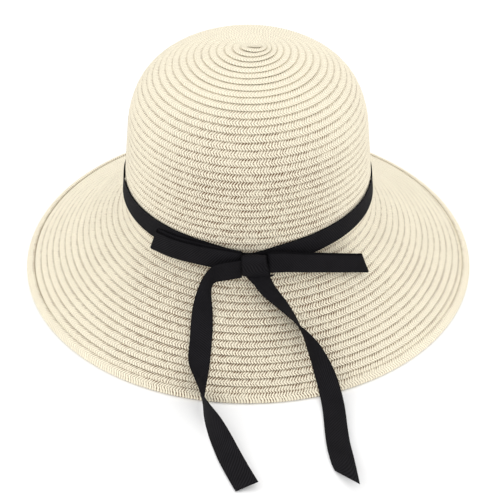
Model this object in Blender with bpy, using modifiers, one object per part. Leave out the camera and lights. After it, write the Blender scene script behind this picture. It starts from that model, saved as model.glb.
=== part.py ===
"""Straw sun hat with a ribbon tied round the crown, built as separate closed solids.

Frame: metres, +Z up, the bow faces -Y. The origin is the centre of the head opening, at the
hat line where the crown turns into the brim. The hat stands on the underside of its rim.
"""

import math

import bmesh
import bpy
from mathutils import Vector

MM = 0.001
GAP = 0.3 * MM                 # room left between pieces that touch

# Straw: one curve runs from the middle of the crown to the edge of the brim.
CROWN_TOP = 128.3 * MM         # height of the crown above the hat line
STRAW = 1.8 * MM               # thickness of the sewn braid
BRAID_ROW = 5.65 * MM          # visible width of one row of braid
# (distance along the curve in mm, slope below the horizontal in degrees)
HAT_SLOPES = (
    (0.0, 3.0), (24.0, 13.0), (48.0, 20.0), (72.0, 36.0), (96.0, 66.0), (120.0, 85.0),
    (144.0, 84.0), (168.0, 88.0), (182.0, 89.5), (200.5, 36.5), (285.4, 26.7),
)
HAT_LINE = 186.0 * MM          # along the curve, where the crown ends and the brim starts
HAT_EDGE = 285.4 * MM          # along the curve, the outer edge of the brim
RIM_PROUD = 0.6 * MM           # the doubled last row stands this far above the brim
RIM_ROUND = 1.2 * MM           # from the edge, where its top starts to turn down
RIM_NOSE = 0.2 * MM            # and where it meets the line of the brim
RIM_SIDE = 1.0 * MM            # height of its upright side
RIM_CHAMFER = 0.5 * MM         # between the side and the flat underside
RIM_DROP = 2.0 * MM            # its flat underside lies this far below the edge
RIM_FLAT = 2.8 * MM            # width of the flat underside
RIM_AROUND = 0.8 * MM          # room round the rim where the ribbon is off the hat
CURVE_STEP = 0.5 * MM
CROWN_RINGS = 14
BRIM_RINGS = 8
BRIM_SPREAD = 1.6              # sets the brim's rings closer together where it curves most
TURN_STEPS = 64
WELD = 0.05 * MM               # points nearer than this become one where a turn closes

# Inside the crown.
SWEATBAND_AWAY = 0.4 * MM      # between the straw and the sweatband
SWEATBAND_THICK = 0.9 * MM
SWEATBAND_WIDE = 30.0 * MM
SWEATBAND_RINGS = 2
LABEL_LOW = 6.5 * MM           # above the hat line
LABEL_ANGLE = math.radians(15)
LABEL_HIGH = 14.0 * MM
LABEL_THICK = 0.5 * MM
LABEL_STEPS = 8

# Ribbon, one width and one thickness throughout.
RIBBON = 16.0 * MM
CLOTH = 0.6 * MM
BAND_RADIUS = 94.4 * MM        # at mid height
BAND_LEAN = math.radians(5.0)  # the lower edge stands out
BAND_HEIGHT = 15.2 * MM        # mid height at the sides and the back
BAND_DROOP = 5.0 * MM          # how far the bow pulls it down at the front
DROOP_ANGLE = math.radians(28)

# Knot: a soft block round the front of the band.
KNOT_CENTRE = (4.8 * MM, -100.8 * MM, 9.3 * MM)
KNOT_SIZE = (17.6 * MM, 7.0 * MM, 20.0 * MM)
KNOT_BEVEL = 1.2 * MM

# Bow loops: (x, y) of the fold's middle line and the height of its middle, in mm.
LOOP_GAP = 2.2 * MM            # between the two layers of a loop
LOOP_LEAN = math.radians(8)
LOOP_STEPS = 3                 # samples between two stations
BEND_STEPS = 6                 # steps round the end of a loop
LOOP_LEFT = (
    (-4.5, -97.7, 10.6), (-16.0, -96.4, 11.4), (-29.0, -93.3, 11.8), (-42.0, -88.2, 11.8),
    (-55.0, -80.8, 11.0), (-67.6, -70.6, 10.0),
)
LOOP_RIGHT = (
    (14.1, -97.9, 8.6), (26.0, -96.0, 7.6), (38.0, -93.0, 4.8), (50.0, -89.2, 1.6),
    (62.0, -85.0, -1.9), (74.0, -80.4, -5.7), (84.5, -75.8, -9.4),
)

# Ribbon tails: (x, y, lift above what they lie on, all in mm, roll about their length in degrees).
TAIL_LEFT = (
    (-4.6, -101.3, 7.0, 90), (-11.5, -101.8, 6.2, 92), (-18.5, -102.8, 4.0, 88),
    (-25.0, -105.4, 1.4, 74), (-29.0, -110.6, 0.2, 52), (-31.2, -117.5, 0.0, 28),
    (-32.6, -125.0, 0.0, 9), (-33.6, -134.0, 0.0, 4), (-34.4, -144.0, 0.0, 12),
    (-34.6, -154.0, 0.0, 33), (-34.0, -164.0, 0.0, 57), (-32.8, -173.5, 0.0, 75),
    (-30.8, -182.5, 0.0, 90), (-27.4, -192.5, 0.0, 105), (-22.8, -203.0, 0.0, 124),
    (-17.8, -215.0, 0.0, 140), (-12.8, -227.5, 0.0, 152), (-6.6, -242.0, 0.0, 158),
    (-0.6, -255.2, 0.0, 160),
)
TAIL_RIGHT = (
    (9.4, -99.0, 0.0, 4), (12.8, -103.2, 0.0, 8), (17.2, -108.2, 0.0, 14),
    (22.6, -113.6, 0.0, 24), (28.6, -119.8, 0.0, 38), (34.0, -126.4, 0.0, 54),
    (38.6, -132.6, 0.0, 74), (43.4, -138.4, 0.0, 95), (48.0, -144.6, 0.0, 114),
    (52.4, -153.0, 0.0, 132), (56.2, -163.4, 0.0, 146), (58.6, -175.0, 0.0, 154),
    (59.8, -187.5, 0.0, 160), (60.4, -203.0, 0.0, 164), (61.4, -218.0, 0.0, 164),
    (63.2, -232.0, 0.0, 158), (65.6, -246.0, 0.0, 146),
)
TAIL_LEFT_AXIS = 12.0 * MM     # height of its axis, just above the root that stands on edge
TAIL_LEFT_CUT = -1.5 * MM      # how far the right corner of an end reaches past its middle
TAIL_RIGHT_CUT = -6.5 * MM
TAIL_STEPS = 3                 # samples between two stations
TAIL_CLEAR = 0.8 * MM          # under the middle of the cloth where it lies flat
DRAPE_PASSES = 4

STRAW_COLOUR = (0.86, 0.78, 0.64)
RIM_COLOUR = (0.84, 0.76, 0.62)
SWEATBAND_COLOUR = (0.80, 0.73, 0.62)
LABEL_COLOUR = (0.92, 0.92, 0.90)
RIBBON_COLOUR = (0.012, 0.012, 0.016)


def clear_scene():
    for old in list(bpy.data.objects):
        bpy.data.objects.remove(old, do_unlink=True)


def new_collection(name):
    collection = bpy.data.collections.new(name)
    bpy.context.scene.collection.children.link(collection)
    return collection


def new_material(name, colour, roughness):
    material = bpy.data.materials.new(name)
    material.use_nodes = True
    shader = material.node_tree.nodes["Principled BSDF"]
    shader.inputs["Base Color"].default_value = (*colour, 1.0)
    shader.inputs["Roughness"].default_value = roughness
    shader.inputs["Metallic"].default_value = 0.0
    return material


def add_part(name, bm, material, parent=None, pivot=(0.0, 0.0, 0.0)):
    """Turn a bmesh into a named object whose origin is the pivot."""
    pivot = Vector(pivot)
    bmesh.ops.translate(bm, verts=bm.verts, vec=-pivot)
    mesh = bpy.data.meshes.new(name)
    bm.to_mesh(mesh)
    bm.free()
    mesh.shade_smooth()
    part = bpy.data.objects.new(name, mesh)
    part.location = pivot
    part.data.materials.append(material)
    HAT.objects.link(part)
    if parent is not None:
        part.parent = parent
        part.location = pivot - parent.location
    return part


def add_empty(name, pivot):
    """An empty on a joint's axis; the pieces that move together are its children."""
    empty = bpy.data.objects.new(name, None)
    empty.location = Vector(pivot)
    HAT.objects.link(empty)
    return empty


def add_screw(part):
    """Turn a profile once round the hat's axis."""
    screw = part.modifiers.new("turn", "SCREW")
    screw.angle = math.tau
    screw.steps = TURN_STEPS
    screw.render_steps = TURN_STEPS
    screw.use_merge_vertices = True
    screw.merge_threshold = WELD
    screw.use_smooth_shade = True


def add_solidify(part, thickness, offset):
    """Thicken a sheet: an offset of -1 grows it inwards, 0 to both sides."""
    shell = part.modifiers.new("thickness", "SOLIDIFY")
    shell.thickness = thickness
    shell.offset = offset
    shell.use_even_offset = True


def hat_slope(distance):
    """Slope below the horizontal at a distance along the hat's curve."""
    at = distance / MM
    for (start, low), (end, high) in zip(HAT_SLOPES, HAT_SLOPES[1:]):
        if at <= end:
            share = (at - start) / (end - start)
            return math.radians(low + share * (high - low))
    return math.radians(HAT_SLOPES[-1][1])


def hat_curve():
    """Outer surface of the straw as (distance, radius, height) from the middle to the edge."""
    points = [(0.0, 0.0, CROWN_TOP)]
    distance, radius, height = points[0]
    while distance < HAT_EDGE - CURVE_STEP / 2:
        slope = hat_slope(distance + CURVE_STEP / 2)
        distance += CURVE_STEP
        radius += CURVE_STEP * math.cos(slope)
        height -= CURVE_STEP * math.sin(slope)
        points.append((distance, radius, height))
    return points


HAT_POINTS = hat_curve()


def on_hat(distance, lift=0.0):
    """(radius, height) at a distance along the hat's curve, lifted off the straw."""
    index = min(range(len(HAT_POINTS)), key=lambda i: abs(HAT_POINTS[i][0] - distance))
    along, radius, height = HAT_POINTS[index]
    slope = hat_slope(distance)
    extra = distance - along
    radius += extra * math.cos(slope) + lift * math.sin(slope)
    height += -extra * math.sin(slope) + lift * math.cos(slope)
    return radius, height


EDGE_RADIUS, EDGE_HEIGHT = on_hat(HAT_EDGE)
TABLE = EDGE_HEIGHT - RIM_DROP


def profile_bmesh(points, closed=False):
    """A profile of (radius, height) points in the XZ plane, as vertices and edges."""
    bm = bmesh.new()
    verts = [bm.verts.new((radius, 0.0, height)) for radius, height in points]
    for first, second in zip(verts, verts[1:]):
        bm.edges.new((first, second))
    if closed:
        bm.edges.new((verts[-1], verts[0]))
    return bm


def make_crown(material):
    """The dome: an open turned surface that Solidify thickens inwards."""
    points = [on_hat(HAT_LINE * i / CROWN_RINGS) for i in range(CROWN_RINGS + 1)]
    points[0] = (0.0, CROWN_TOP)
    crown = add_part("crown", profile_bmesh(points), material)
    add_screw(crown)
    add_solidify(crown, STRAW, -1.0)


def make_brim(material):
    """The flared brim, from the hat line to the inside of its last row."""
    start = HAT_LINE + GAP
    end = HAT_EDGE - BRAID_ROW - GAP
    shares = [(i / BRIM_RINGS) ** BRIM_SPREAD for i in range(BRIM_RINGS + 1)]
    points = [on_hat(start + (end - start) * share) for share in shares]
    brim = add_part("brim", profile_bmesh(points), material)
    add_screw(brim)
    add_solidify(brim, STRAW, -1.0)


def make_brim_edge(material):
    """The last row, folded double: a closed profile with a flat underside to stand on."""
    inner = HAT_EDGE - BRAID_ROW
    points = [
        on_hat(inner, RIM_PROUD),
        on_hat(HAT_EDGE - RIM_ROUND, RIM_PROUD),
        on_hat(HAT_EDGE - RIM_NOSE),
        (EDGE_RADIUS, TABLE + RIM_SIDE),
        (EDGE_RADIUS - RIM_CHAMFER, TABLE),
        (EDGE_RADIUS - RIM_CHAMFER - RIM_FLAT, TABLE),
        on_hat(inner, -STRAW - GAP),
    ]
    edge = add_part("brim_edge", profile_bmesh(points, closed=True), material)
    add_screw(edge)


def make_sweatband(material):
    """The woven band that lies against the head, sewn in at the hat line."""
    along = [
        HAT_LINE - SWEATBAND_WIDE * (1 - i / SWEATBAND_RINGS) for i in range(SWEATBAND_RINGS + 1)
    ]
    outer = [on_hat(distance, -STRAW - SWEATBAND_AWAY) for distance in along]
    inner = [on_hat(distance, -STRAW - SWEATBAND_AWAY - SWEATBAND_THICK) for distance in along]
    band = add_part("sweatband", profile_bmesh(outer + inner[::-1], closed=True), material)
    add_screw(band)


def make_size_label(material):
    """A blank folded tab on the sweatband at the back of the hat."""
    wall = on_hat(HAT_LINE - LABEL_LOW - LABEL_HIGH, -STRAW - SWEATBAND_AWAY - SWEATBAND_THICK)
    radius = wall[0] - GAP - LABEL_THICK
    bm = bmesh.new()
    start = math.pi / 2 - LABEL_ANGLE / 2
    foot = Vector((radius * math.cos(start), radius * math.sin(start), LABEL_LOW))
    side = [bm.verts.new(foot), bm.verts.new(foot + Vector((0, 0, LABEL_HIGH)))]
    edge = bm.edges.new(side)
    bmesh.ops.spin(
        bm, geom=side + [edge], cent=(0, 0, 0), axis=(0, 0, 1), angle=LABEL_ANGLE,
        steps=LABEL_STEPS,
    )
    label = add_part("size_label", bm, material)
    add_solidify(label, LABEL_THICK, 0.0)


def band_middle(angle):
    """Mid height of the band at an angle from the front."""
    return BAND_HEIGHT - BAND_DROOP * math.exp(-((angle / DROOP_ANGLE) ** 2))


def make_ribbon_band(material, parent):
    """The ribbon round the crown: a leaning ring that dips to the knot in front."""
    bm = bmesh.new()
    half = RIBBON / 2
    rings = []
    for side in (1.0, 0.0, -1.0):
        radius = BAND_RADIUS - side * half * math.sin(BAND_LEAN)
        made = bmesh.ops.create_circle(bm, segments=TURN_STEPS, radius=radius)
        for vert in made["verts"]:
            front = math.atan2(vert.co.x, -vert.co.y)
            vert.co.z = band_middle(front) + side * half * math.cos(BAND_LEAN)
        rings.append(list({edge for vert in made["verts"] for edge in vert.link_edges}))
    for upper, lower in zip(rings, rings[1:]):
        bmesh.ops.bridge_loops(bm, edges=upper + lower)
    bmesh.ops.recalc_face_normals(bm, faces=bm.faces)
    band = add_part("ribbon_band", bm, material, parent)
    add_solidify(band, CLOTH, 0.0)


def make_bow_knot(material, parent):
    """The ribbon wrapped round the middle of the bow, as a soft block."""
    bm = bmesh.new()
    bmesh.ops.create_cube(bm, size=1.0)
    bmesh.ops.scale(bm, vec=KNOT_SIZE, verts=bm.verts)
    bmesh.ops.subdivide_edges(bm, edges=bm.edges, cuts=1, use_grid_fill=True)
    bmesh.ops.bevel(
        bm, geom=bm.edges, offset=KNOT_BEVEL, segments=2, profile=0.5, affect="EDGES",
        material=-1, clamp_overlap=True,
    )
    bmesh.ops.translate(bm, verts=bm.verts, vec=KNOT_CENTRE)
    add_part("bow_knot", bm, material, parent)


def strip_bmesh(sections):
    """A ribbon's middle surface through its cross-sections, each a list of points across it."""
    bm = bmesh.new()
    row = [bm.verts.new(point) for point in sections[0]]
    edges = [bm.edges.new(pair) for pair in zip(row, row[1:])]
    for section in sections[1:]:
        made = bmesh.ops.extrude_edge_only(bm, edges=edges)["geom"]
        fresh = {item for item in made if isinstance(item, bmesh.types.BMVert)}
        edges = [
            item for item in made
            if isinstance(item, bmesh.types.BMEdge) and fresh.issuperset(item.verts)
        ]
        row = order_like(row, fresh)
        for vert, point in zip(row, section):
            vert.co = point
    return bm


def order_like(row, fresh):
    """The extruded vertices in the order of the row that they came from."""
    ordered = []
    for vert in row:
        partner = next(e.other_vert(vert) for e in vert.link_edges if e.other_vert(vert) in fresh)
        ordered.append(partner)
    return ordered


def spline(stations, steps):
    """A smooth curve through the stations, with the given samples between two of them."""
    points = [Vector(station) for station in stations]
    points = [2 * points[0] - points[1]] + points + [2 * points[-1] - points[-2]]
    samples = []
    for before, start, end, after in zip(points, points[1:], points[2:], points[3:]):
        for step in range(steps):
            t = step / steps
            samples.append(0.5 * (
                2 * start + (end - before) * t
                + (2 * before - 5 * start + 4 * end - after) * t * t
                + (3 * start - before - 3 * end + after) * t ** 3
            ))
    samples.append(points[-2])
    return samples


def make_loop(name, stations, material, pivot, parent):
    """A bow loop: the ribbon runs out along one layer, turns round and comes back."""
    middle = [point * MM for point in spline(stations, LOOP_STEPS)]
    normals = []
    for index in range(len(middle)):
        ahead = middle[min(index + 1, len(middle) - 1)] - middle[max(index - 1, 0)]
        across = Vector((ahead.y, -ahead.x, 0.0)).normalized()
        normals.append(across if across.y < 0 else -across)
    path = [(point, normal, LOOP_GAP / 2) for point, normal in zip(middle, normals)]
    end, outward = middle[-1], normals[-1]
    along = middle[-1] - middle[-2]
    along.z = 0.0
    along.normalize()
    bend = []
    for step in range(1, BEND_STEPS):
        turn = math.pi * step / BEND_STEPS
        centre = end + along * (LOOP_GAP / 2) * math.sin(turn)
        bend.append((centre, outward, LOOP_GAP / 2 * math.cos(turn)))
    back = [(point, normal, -LOOP_GAP / 2) for point, normal in zip(middle, normals)]
    path += bend + back[::-1]
    half = RIBBON / 2
    sections = []
    for centre, normal, offset in path:
        across = Vector((0, 0, 1)) * math.cos(LOOP_LEAN) - normal * math.sin(LOOP_LEAN)
        place = centre + normal * offset
        sections.append([place + across * half, place, place - across * half])
    bm = strip_bmesh(sections)
    bmesh.ops.recalc_face_normals(bm, faces=bm.faces)
    loop = add_part(name, bm, material, parent, pivot)
    add_solidify(loop, CLOTH, 0.0)


def ground(x, y):
    """Height of the brim, its edge or the table under a point outside the crown."""
    radius = math.hypot(x, y)
    if radius > EDGE_RADIUS + RIM_AROUND:
        return TABLE
    inside = [point for point in HAT_POINTS if point[0] >= HAT_LINE and point[1] <= radius]
    if not inside:
        return HAT_POINTS[int(HAT_LINE / CURVE_STEP)][2]
    proud = RIM_PROUD if inside[-1][0] > HAT_EDGE - BRAID_ROW - GAP else 0.0
    return inside[-1][2] + proud


def tail_sections(stations, cut):
    """Cross-sections of a tail that rests on the brim and the table, rolled about its length."""
    samples = spline([(x, y, lift) for x, y, lift, roll in stations], TAIL_STEPS)
    rolls = [roll.x for roll in spline([(roll, 0, 0) for x, y, lift, roll in stations], TAIL_STEPS)]
    places = [Vector((sample.x * MM, sample.y * MM, 0.0)) for sample in samples]
    last = len(places) - 1
    heads, rests = [], []
    for index, (place, sample, roll) in enumerate(zip(places, samples, rolls)):
        along = (places[min(index + 1, last)] - places[max(index - 1, 0)]).normalized()
        side = along.cross(Vector((0, 0, 1)))
        turn = math.radians(roll)
        across = side * math.cos(turn) + Vector((0, 0, 1)) * math.sin(turn)
        shift = cut * max(0.0, 1.0 - (last - index) / TAIL_STEPS)
        heads.append((across, along * shift))
        need = -math.inf
        for share in (-1.0, -0.5, 0.0, 0.5, 1.0):
            offset = across * (share * RIBBON / 2)
            under = ground(place.x + offset.x, place.y + offset.y)
            need = max(need, under - offset.z)
        rests.append(need + TAIL_CLEAR + sample.z * MM)
    heights = list(rests)
    for _ in range(DRAPE_PASSES):
        for index in range(1, last):
            mean = (heights[index - 1] + heights[index + 1]) / 2
            heights[index] = max(rests[index], mean)
    sections = []
    for place, height, (across, shift) in zip(places, heights, heads):
        centre = Vector((place.x, place.y, height))
        half = across * (RIBBON / 2)
        sections.append([centre - half + shift, centre, centre + half - shift])
    return sections


def make_tail(name, stations, cut, material, pivot, parent):
    """One loose end of the ribbon, from the knot over the brim to the table."""
    bm = strip_bmesh(tail_sections(stations, cut))
    bmesh.ops.recalc_face_normals(bm, faces=bm.faces)
    tail = add_part(name, bm, material, parent, pivot)
    add_solidify(tail, CLOTH, 0.0)


clear_scene()
HAT = new_collection("straw_sun_hat")
straw = new_material("straw_braid", STRAW_COLOUR, 0.75)
rim = new_material("straw_rim", RIM_COLOUR, 0.72)
lining = new_material("sweatband_cloth", SWEATBAND_COLOUR, 0.85)
tab = new_material("label_cloth", LABEL_COLOUR, 0.8)
ribbon = new_material("black_ribbon", RIBBON_COLOUR, 0.7)

make_crown(straw)
make_brim(straw)
make_brim_edge(rim)
make_sweatband(lining)
make_size_label(tab)

knot_x, knot_y, knot_z = KNOT_CENTRE
knot_left = knot_x - KNOT_SIZE[0] / 2
knot_right = knot_x + KNOT_SIZE[0] / 2
ribbon_axis = add_empty("ribbon_axis", (0.0, 0.0, BAND_HEIGHT))
make_ribbon_band(ribbon, ribbon_axis)
make_bow_knot(ribbon, ribbon_axis)
left_side = (knot_left, knot_y, knot_z)
right_side = (knot_right, knot_y, knot_z)
left_root = (knot_left, knot_y, TAIL_LEFT_AXIS)
right_root = (knot_x, knot_y, 0.0)
make_loop("bow_loop_left", LOOP_LEFT, ribbon, left_side, ribbon_axis)
make_loop("bow_loop_right", LOOP_RIGHT, ribbon, right_side, ribbon_axis)
make_tail("tail_left", TAIL_LEFT, TAIL_LEFT_CUT, ribbon, left_root, ribbon_axis)
make_tail("tail_right", TAIL_RIGHT, TAIL_RIGHT_CUT, ribbon, right_root, ribbon_axis)
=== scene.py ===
"""Straw sun hat: the looks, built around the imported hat.

The crown and the brim are one plaited straw braid, laid in a spiral from the middle of the crown
and lapped like tiles. A twill ribbon goes round the crown and is tied in a flat bow. Each piece
has its own operator, and the panel in the 3D view's sidebar lists them.
"""

import math

import bmesh
import bpy
import numpy as np
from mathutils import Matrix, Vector


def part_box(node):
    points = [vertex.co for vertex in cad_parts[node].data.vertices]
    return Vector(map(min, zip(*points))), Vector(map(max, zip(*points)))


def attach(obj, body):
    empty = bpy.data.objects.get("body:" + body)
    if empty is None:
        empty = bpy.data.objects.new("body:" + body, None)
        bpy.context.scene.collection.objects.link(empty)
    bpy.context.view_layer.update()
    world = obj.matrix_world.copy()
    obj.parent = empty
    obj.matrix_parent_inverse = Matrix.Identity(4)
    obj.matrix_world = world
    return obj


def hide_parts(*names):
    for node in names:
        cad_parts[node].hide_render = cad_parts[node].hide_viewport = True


bl_info = {
    "name": "Straw Sun Hat",
    "version": (1, 0, 0),
    "blender": (4, 5, 0),
    "location": "View3D > Sidebar > Sun Hat",
    "description": "Builds a sewn straw sun hat with a ribbon bow",
    "category": "Object",
}

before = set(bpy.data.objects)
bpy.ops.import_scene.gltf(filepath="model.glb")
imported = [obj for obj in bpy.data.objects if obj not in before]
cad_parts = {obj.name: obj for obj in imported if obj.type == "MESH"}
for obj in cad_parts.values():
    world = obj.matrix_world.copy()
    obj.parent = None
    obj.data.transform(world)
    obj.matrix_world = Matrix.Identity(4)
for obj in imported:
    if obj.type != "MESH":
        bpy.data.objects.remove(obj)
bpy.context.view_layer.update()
MM = 0.001

# The hat's outline, as (distance along it in mm, slope below the horizontal in degrees).
CROWN_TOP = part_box("crown")[1].z
HAT_SLOPES = (
    (0.0, 3.0), (24.0, 13.0), (48.0, 20.0), (72.0, 36.0), (96.0, 66.0), (120.0, 85.0),
    (144.0, 84.0), (168.0, 88.0), (182.0, 89.5), (200.5, 36.5), (285.4, 26.7),
)
HAT_LINE = 186.0 * MM
HAT_EDGE = 285.4 * MM
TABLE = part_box("brim_edge")[0].z

# Where the long braid is divided into pieces, as distances along the outline.
CROWN_SPLIT = 110.0 * MM
BRIM_SPLIT = 238.0 * MM
ROWS_END = 279.75 * MM         # the last row, folded double, starts here at the front
ROWS_OVER = 0.5 * MM           # how far the braid may run on under the folded row
BRAID_START = 0.8 * MM         # where the first turn begins
MIDDLE_CLEAR = 0.02 * MM       # the braid's inner edge stops this short of the very middle
CURVE_STEP = 0.25 * MM
CURVE_OVER = 6.0 * MM          # the outline is carried on past the edge, for the rim's underside
EDGE_ROUND = 1.4 * MM          # the rim's nose, which a tail bends over
RIM_LAP = 1.5 * MM             # the folded row laps this far over the last open row
RIM_PROUD = 1.2 * MM           # and stands this much higher

# The crown's rows run a part of a turn ahead of the brim's; the rest is made up at the band.
CROWN_AHEAD = 0.24
LAP_FROM = 172.0 * MM
LAP_TO = 196.0 * MM

# The slit that the first turn of the braid leaves in the middle of the crown.
SLIT_HALF = 3.4 * MM
SLIT_GAP = 0.3 * MM
SLIT_FADE = 15.0 * MM
SLIT_SHIFT = 3.6 * MM

# Across the braid, from the hidden inner edge (0) over the top to the outer edge (1) and back:
# (share of the width, height over the middle as a share of half the thickness, relief).
BRAID_SECTION = (
    (0.00, 0.0, 0.0), (0.20, 1.0, 0.2), (0.45, 1.0, 0.4), (0.70, 1.0, 0.8),
    (0.93, 0.9, 1.0), (1.00, -0.2, 0.0), (0.80, -1.0, 0.5), (0.30, -1.0, 0.3),
)
FOLD = 0.62                    # share of the width where the strands turn back
SLANT = 2.2                    # strands that one width of slant crosses
SAMPLES = 3                    # mesh columns per strand
LANES = 5.0                    # strands that the pattern shows across the braid
RIDGE_LEVEL = 0.7              # the share of a ridge that lies under the braid's nominal surface
RIM_TURN = 0.6                 # in mm under the surface, where the rim's relief turns over
BRAID_SWAY = ((0.10 * MM, 2.3, 0.0), (0.08 * MM, 5.1, 1.0))   # (size, waves a turn, start)

# The folded rim: (distance from the edge in mm, lift in mm, share across for the pattern).
RIM_SECTION = (
    (-6.9, 0.45, 0.20), (-6.2, 0.95, 0.25), (-4.6, 1.15, 0.45), (-3.0, 1.15, 0.70),
    (-1.2, 0.90, 0.93), (0.1, 0.0, 1.00), (0.3, -1.0, 0.93), (-0.6, -2.3, 0.80),
    (-2.2, -2.75, 0.60), (-3.6, -2.3, 0.40), (-5.2, -1.6, 0.20), (-5.9, -1.2, 0.05),
)

# The ribbon band. Waves are (size, waves round the crown, start in radians).
SHARES = [-1.0, -0.86, -0.5, 0.0, 0.5, 0.86, 1.0]   # rows of the mesh across a ribbon
ROUND_STEPS = 240
BAND_LOOSE = ((0.35 * MM, 3, 0.6), (0.2 * MM, 7, 0.0))
BAND_LOOSE_OUT = 0.4
KNOT_LOW, KNOT_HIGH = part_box("bow_knot")
BAND_RADIUS = 94.4 * MM
BAND_LEAN = math.radians(5.0)
BAND_HEIGHT = 15.2 * MM
BAND_DROOP = 5.0 * MM
BAND_PINCH = 4.5 * MM          # how far the knot squeezes the band's top edge down
PINCH_ANGLE = 0.16
DROOP_ANGLE = math.radians(28)

# Ribbon routes in millimetres. A loop's station is (x, y, z). A tail's is (x, y, lift over what
# lies under it, roll in degrees). They are the part's own routes, except at the roots, beside the
# wrap, and at the right tail's end.
LOOP_GAP = 2.2 * MM
LOOP_LEAN = math.radians(8)
LOOP_STEPS = 5
LOOP_TURN_STEPS = 10           # round the loop's end
LOOP_LEFT_DROP = 2.0 * MM      # how much lower the front layer lies at the end
LOOP_LEFT_SLANT = 4.5 * MM     # how far the end's bottom corner is ahead of its top one
LOOP_RIGHT_SLANT = 5.0 * MM
LOOP_LEFT = (
    (-4.5, -97.7, 8.4), (-16.0, -96.4, 10.7), (-29.0, -93.3, 11.8), (-42.0, -88.2, 11.8),
    (-55.0, -80.8, 11.0), (-67.6, -70.6, 10.0),
)
LOOP_RIGHT = (
    (14.1, -97.9, 8.6), (26.0, -96.0, 7.6), (38.0, -93.0, 4.8), (50.0, -89.2, 1.6),
    (62.0, -85.0, -1.9), (74.0, -80.4, -5.7), (84.5, -75.8, -9.4),
)
TAIL_LEFT = (
    (-4.4, -101.3, 8.8, 90), (-11.0, -101.7, 8.4, 90), (-18.0, -102.1, 8.2, 90),
    (-24.2, -102.8, 8.2, 90), (-27.6, -105.0, 6.8, 78), (-29.8, -108.8, 4.8, 60),
    (-31.4, -113.6, 2.6, 40), (-32.5, -119.4, 1.0, 22), (-33.1, -126.0, 0.2, 8),
    (-33.6, -134.0, 0.0, 4), (-34.4, -144.0, 0.0, 12), (-34.6, -154.0, 0.0, 33),
    (-34.0, -164.0, 0.0, 57), (-32.8, -173.5, 0.0, 75), (-30.8, -182.5, 0.0, 90),
    (-27.4, -192.5, 0.0, 105), (-22.8, -203.0, 0.0, 124), (-17.8, -215.0, 0.0, 140),
    (-12.8, -227.5, 0.0, 152), (-6.6, -242.0, 0.0, 158), (-0.6, -255.2, 0.0, 160),
)
TAIL_RIGHT = (
    (8.4, -101.0, 5.6, 2), (10.4, -103.0, 3.6, 5), (13.2, -105.6, 1.4, 9),
    (17.2, -108.9, 0.0, 14),
    (22.6, -113.6, 0.0, 24), (28.6, -119.8, 0.0, 38), (34.0, -126.4, 0.0, 54),
    (38.6, -132.6, 0.0, 74), (43.4, -138.4, 0.0, 95), (48.0, -144.6, 0.0, 114),
    (52.4, -153.0, 0.0, 132), (56.2, -163.4, 0.0, 146), (58.6, -175.0, 0.0, 154),
    (59.8, -187.5, 0.0, 160), (60.4, -203.0, 0.0, 164), (61.4, -218.0, 0.0, 164),
    (63.2, -232.0, 0.0, 153), (65.4, -249.5, 0.0, 138),
)
TAIL_LEFT_CUT = (0.0, -1.5 * MM)      # how far a corner runs ahead at the root and the end
TAIL_RIGHT_CUT = (7.0 * MM, -12.0 * MM)
TAIL_STEPS = 6
TAIL_CLEAR = 1.0 * MM
TAIL_PASSES = 12               # smoothing passes over the tail's height

# The wrap that holds the bow.
KNOT_STEPS = 64
KNOT_FOLDS = 25                # rows of the mesh across the gathered ribbon
KNOT_SQUARE = 0.55             # 1 is an oval wrap, less is squarer
KNOT_SQUEEZE = 1.5 * MM        # pulled tight: the wrap's top is twice this under the block's top
KNOT_OVER = 0.8 * MM           # how far the wrap reaches over the loops' roots
KNOT_TUCK = 4                  # power: higher keeps the wrap full until nearer its edges
KNOT_PINCH = (0.62, 0.16)      # where the gathers draw in, and how wide
KNOT_FOLD = 0.30 * MM
KNOT_FOLD_WAVE = (9.0, 0.5)    # radians over half the wrap's width, and start
KNOT_FOLD_GROW = (0.6, 0.4)    # the folds are deeper towards the right
KNOT_SHALLOW = (0.30, 0.22)    # share of the depth lost to the tuck and to the pinch
KNOT_SHORT = (0.06, 0.04)      # share of the height lost to them
KNOT_SLANT = -1.6 * MM

# The lining.
TAPE_ROWS = 8
TAPE_INSIDE = -2.6 * MM        # from the straw's surface to the tape
TAPE_WAVE = 0.35 * MM
STITCHES_UP = 3.0 * MM         # over the hat line
STITCHES_INSIDE = -3.15 * MM
STITCH_SIZE = (0.25 * MM, 1.5 * MM, 0.25 * MM)
LABEL_STEPS = 10
LABEL_CLOTH = 0.15 * MM
LABEL_WIDE = 0.014             # between the selvedges of the tab's woven pattern
# Down the tab, round its fold and up again: (depth in mm, height, run), both shares of its height.
LABEL_ROUTE = (
    (0.0, 1.0, 0.0), (0.0, 0.5, 0.5), (0.0, 0.03, 0.95), (0.18, 0.0, 1.0),
    (0.36, 0.03, 1.05), (0.36, 0.5, 1.5), (0.36, 1.0, 2.0),
)

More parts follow.
